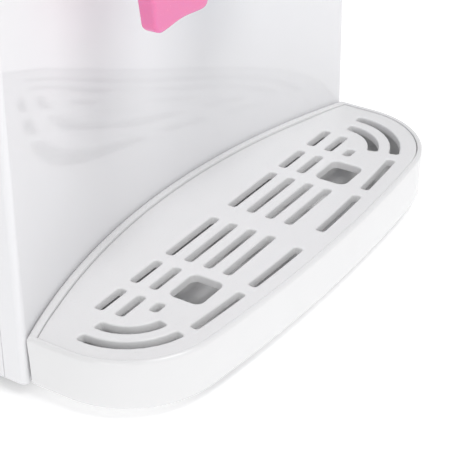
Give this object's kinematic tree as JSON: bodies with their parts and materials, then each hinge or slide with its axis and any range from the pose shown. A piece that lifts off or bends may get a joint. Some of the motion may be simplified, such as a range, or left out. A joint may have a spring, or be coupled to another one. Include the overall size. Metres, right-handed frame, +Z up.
{
  "type": "countertop water dispenser",
  "caption": "Countertop bottle water dispenser with a hollow-curved front, push-lever taps and a bowed drip tray under a slatted grille.",
  "frame": {"origin": "middle of the underside, on the surface that the feet stand on", "axes": "+Z up, -Y towards the user, +X to the right for someone facing +Y"},
  "size_m": [0.2832, 0.316, 0.412],
  "materials": {
    "white_gloss": "high gloss",
    "white_grille": "semi gloss",
    "white_satin": "satin",
    "pink": "semi gloss",
    "blue": "semi gloss",
    "grey_plastic": "moulded",
    "black_plastic": "moulded",
    "dark_rubber": "matt",
    "silicone": "translucent",
    "stainless": "brushed",
    "aluminium": "extruded",
    "foam": "moulded bead foam",
    "ceramic": "ceramic faced",
    "circuit_board": "lacquered",
    "red_lens": "tinted clear",
    "blue_lens": "tinted clear"
  },
  "bodies": {
    "cabinet": {"base_plate": "grey_plastic", "cold_block": "aluminium", "cold_tank": "stainless", "cold_tank_jacket": "foam", "cold_tap_hose": "silicone", "collar_seal": "silicone", "control_board": "circuit_board", "cooling_module": "ceramic", "drain_hose": "silicone", "drain_spout": "white_satin", "fan_frame": "black_plastic", "foot_front_left": "dark_rubber", "foot_front_right": "dark_rubber", "foot_rear_left": "dark_rubber", "foot_rear_right": "dark_rubber", "front_panel": "white_gloss", "heat_sink": "aluminium", "hot_supply_hose": "silicone", "hot_tank": "stainless", "hot_tank_jacket": "foam", "hot_tap_hose": "silicone", "indicator_cold": "blue_lens", "indicator_hot": "red_lens", "lever_pin_cold": "stainless", "lever_pin_hot": "stainless", "mains_inlet": "black_plastic", "rear_cover": "white_satin", "rear_screw_1": "stainless", "rear_screw_2": "stainless", "rear_screw_3": "stainless", "rear_screw_4": "stainless", "side_panel_left": "white_gloss", "side_panel_right": "white_gloss", "switch_frame_cold": "black_plastic", "switch_frame_hot": "black_plastic", "tank_bracket": "stainless", "tap_body_cold": "white_gloss", "tap_body_hot": "white_gloss", "tap_bonnet_cold": "white_gloss", "tap_bonnet_hot": "white_gloss", "tap_gasket_cold": "silicone", "tap_gasket_hot": "silicone", "tap_nut_cold": "black_plastic", "tap_nut_hot": "black_plastic", "thermostat": "black_plastic", "top_cover": "white_gloss", "valve_spring_cold": "stainless", "valve_spring_hot": "stainless"},
    "collar": {"bottle_collar": "white_satin", "feed_probe": "white_satin"},
    "tray": {"drip_tray": "white_gloss"},
    "grille": {"drip_grille": "white_grille"},
    "hot_lever": {"lever_hot": "pink"},
    "cold_lever": {"lever_cold": "blue"},
    "hot_stem": {"valve_stem_hot": "silicone"},
    "cold_stem": {"valve_stem_cold": "silicone"},
    "fan": {"fan_rotor": "black_plastic"},
    "hot_rocker": {"rocker_hot": "red_lens"},
    "cold_rocker": {"rocker_cold": "blue_lens"},
    "plug": {"drain_plug": "dark_rubber"}
  },
  "joints": [
    {"name": "collar_lift", "type": "slide", "parent": "cabinet", "child": "collar", "axis": [0, 0, 1], "range_m": [0, 0.12]},
    {"name": "tray_slide", "type": "slide", "parent": "cabinet", "child": "tray", "axis": [0, -1, 0], "range_m": [0, 0.11]},
    {"name": "grille_lift", "type": "slide", "parent": "tray", "child": "grille", "axis": [0, 0, 1], "range_m": [0, 0.06]},
    {"name": "hot_lever_push", "type": "hinge", "parent": "cabinet", "child": "hot_lever", "pos_m": [-0.043, -0.087, 0.218], "axis": [1, 0, 0], "range_deg": [0, 12], "stiffness_Nm_per_rad": 0.6, "springref_deg": -20.05},
    {"name": "hot_stem_rise", "type": "slide", "parent": "cabinet", "child": "hot_stem", "axis": [0, 0, 1], "range_m": [0, 0.0024], "deforming": ["valve_spring_hot"]},
    {"name": "cold_lever_push", "type": "hinge", "parent": "cabinet", "child": "cold_lever", "pos_m": [0.043, -0.087, 0.218], "axis": [1, 0, 0], "range_deg": [0, 12], "stiffness_Nm_per_rad": 0.6, "springref_deg": -20.05},
    {"name": "cold_stem_rise", "type": "slide", "parent": "cabinet", "child": "cold_stem", "axis": [0, 0, 1], "range_m": [0, 0.0024], "deforming": ["valve_spring_cold"]},
    {"name": "fan_spin", "type": "hinge", "parent": "cabinet", "child": "fan", "pos_m": [0, 0.133, 0.322], "axis": [0, 1, 0], "continuous": true},
    {"name": "hot_switch_rock", "type": "hinge", "parent": "cabinet", "child": "hot_rocker", "pos_m": [0.02, 0.1528, 0.05], "axis": [1, 0, 0], "range_deg": [0, 14]},
    {"name": "cold_switch_rock", "type": "hinge", "parent": "cabinet", "child": "cold_rocker", "pos_m": [0.04, 0.1528, 0.05], "axis": [1, 0, 0], "range_deg": [0, 14]},
    {"name": "drain_plug_pull", "type": "slide", "parent": "cabinet", "child": "plug", "axis": [0, 1, 0], "range_m": [0, 0.03]}
  ],
  "couplings": [
    {"joint": "hot_stem_rise", "follows": "hot_lever_push", "m_per_rad": 0.011},
    {"joint": "cold_stem_rise", "follows": "cold_lever_push", "m_per_rad": 0.011}
  ]
}
